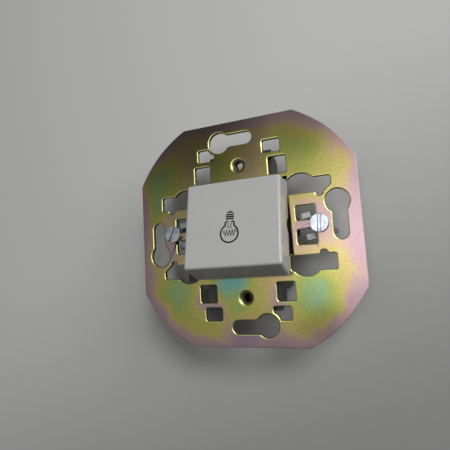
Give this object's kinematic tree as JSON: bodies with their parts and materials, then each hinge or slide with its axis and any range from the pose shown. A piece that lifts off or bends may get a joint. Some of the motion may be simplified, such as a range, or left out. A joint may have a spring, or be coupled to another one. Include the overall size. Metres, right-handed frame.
{
  "type": "push button light switch",
  "caption": "Flush-mounted push button light switch insert: iridescent octagonal support plate, tilted grey rocking key with a lamp pictogram, screw claws and contact block.",
  "frame": {"origin": "centre of the support plate's back face, which lies on the wall", "axes": "+Z out of the wall along the cover screws, +Y up, +X to the right as seen by the user"},
  "size_m": [0.072, 0.072, 0.0361],
  "materials": {
    "zinc_chromate_steel": "yellow chromate over zinc, iridescent, satin",
    "key_plastic": "light grey, moulded, half gloss",
    "print_black": "printed ink",
    "dark_plastic": "dark grey, moulded",
    "white_plastic": "natural white, moulded",
    "zinc_steel": "bright zinc plated",
    "spring_steel": "drawn wire",
    "brass": "plain",
    "silver": "silver contact metal"
  },
  "bodies": {
    "switch_frame": {"mounting_plate": "zinc_chromate_steel", "housing_cover": "dark_plastic", "housing_base": "dark_plastic", "housing_screws": "zinc_steel", "common_terminal_bar": "brass", "fixed_terminal_bar": "brass", "fixed_contact": "silver", "return_spring": "spring_steel", "contact_spring": "spring_steel"},
    "key": {"key_cap": "key_plastic", "lamp_symbol": "print_black", "key_carrier": "dark_plastic", "pivot_pin": "zinc_steel"},
    "plunger": {"plunger": "white_plastic"},
    "contact": {"contact_lever": "brass", "moving_contact": "silver"},
    "right_claw_screw": {"right_claw_screw": "zinc_steel"},
    "right_claw_nut": {"right_claw_nut": "zinc_steel"},
    "right_claw": {"right_claw": "zinc_steel"},
    "left_claw_screw": {"left_claw_screw": "zinc_steel"},
    "left_claw_nut": {"left_claw_nut": "zinc_steel"},
    "left_claw": {"left_claw": "zinc_steel"},
    "upper_terminal_screw": {"upper_terminal_screw": "zinc_steel"},
    "upper_wire_clamp": {"upper_wire_clamp": "zinc_steel"},
    "lower_terminal_screw": {"lower_terminal_screw": "zinc_steel"},
    "lower_wire_clamp": {"lower_wire_clamp": "zinc_steel"}
  },
  "joints": [
    {"name": "key_press", "type": "hinge", "parent": "switch_frame", "child": "key", "pos_m": [0, 0, 0.00315], "axis": [1, 0, 0], "range_deg": [0, 12], "stiffness_Nm_per_rad": 0.06, "springref_deg": -11.46, "deforming": ["return_spring"]},
    {"name": "plunger_push", "type": "slide", "parent": "switch_frame", "child": "plunger", "axis": [0, 0, -1], "range_m": [0, 0.0005867]},
    {"name": "contact_swing", "type": "hinge", "parent": "switch_frame", "child": "contact", "pos_m": [0, 0.0032, -0.0119], "axis": [1, 0, 0], "range_deg": [0, 5.6], "deforming": ["contact_spring"]},
    {"name": "right_claw_screw_turn", "type": "hinge", "parent": "switch_frame", "child": "right_claw_screw", "pos_m": [0.02405, 0, 0.0015], "axis": [0, 0, -1], "range_deg": [0, 3240]},
    {"name": "right_claw_nut_lift", "type": "slide", "parent": "switch_frame", "child": "right_claw_nut", "axis": [0, 0, 1], "range_m": [0, 0.0045]},
    {"name": "right_claw_spread", "type": "hinge", "parent": "switch_frame", "child": "right_claw", "pos_m": [0.02005, -0.00063, 0.0002], "axis": [0.1564, -0.9877, 0], "range_deg": [0, 23.1]},
    {"name": "left_claw_screw_turn", "type": "hinge", "parent": "switch_frame", "child": "left_claw_screw", "pos_m": [-0.02405, 0.0007, 0.0015], "axis": [0, 0, -1], "range_deg": [0, 3240]},
    {"name": "left_claw_nut_lift", "type": "slide", "parent": "switch_frame", "child": "left_claw_nut", "axis": [0, 0, 1], "range_m": [0, 0.0045]},
    {"name": "left_claw_spread", "type": "hinge", "parent": "switch_frame", "child": "left_claw", "pos_m": [-0.02, 0, 0.0002], "axis": [0, 1, 0], "range_deg": [0, 23.1]},
    {"name": "upper_terminal_screw_turn", "type": "hinge", "parent": "switch_frame", "child": "upper_terminal_screw", "pos_m": [0, 0.0148, -0.0204], "axis": [0, 0, 1], "range_deg": [0, 1152]},
    {"name": "upper_wire_clamp_close", "type": "slide", "parent": "switch_frame", "child": "upper_wire_clamp", "axis": [0, 0, -1], "range_m": [0, 0.0016]},
    {"name": "lower_terminal_screw_turn", "type": "hinge", "parent": "switch_frame", "child": "lower_terminal_screw", "pos_m": [0, -0.0148, -0.0204], "axis": [0, 0, 1], "range_deg": [0, 1152]},
    {"name": "lower_wire_clamp_close", "type": "slide", "parent": "switch_frame", "child": "lower_wire_clamp", "axis": [0, 0, -1], "range_m": [0, 0.0016]}
  ],
  "couplings": [
    {"joint": "plunger_push", "follows": "key_press", "m_per_rad": 0.0027983},
    {"joint": "contact_swing", "follows": "key_press", "ratio": 0.46606},
    {"joint": "right_claw_screw_turn", "follows": "right_claw_nut_lift", "rad_per_m": 12560},
    {"joint": "right_claw_spread", "follows": "right_claw_nut_lift", "rad_per_m": 89.549},
    {"joint": "left_claw_screw_turn", "follows": "left_claw_nut_lift", "rad_per_m": 12560},
    {"joint": "left_claw_spread", "follows": "left_claw_nut_lift", "rad_per_m": 89.549},
    {"joint": "upper_terminal_screw_turn", "follows": "upper_wire_clamp_close", "rad_per_m": 12560},
    {"joint": "lower_terminal_screw_turn", "follows": "lower_wire_clamp_close", "rad_per_m": 12560}
  ]
}
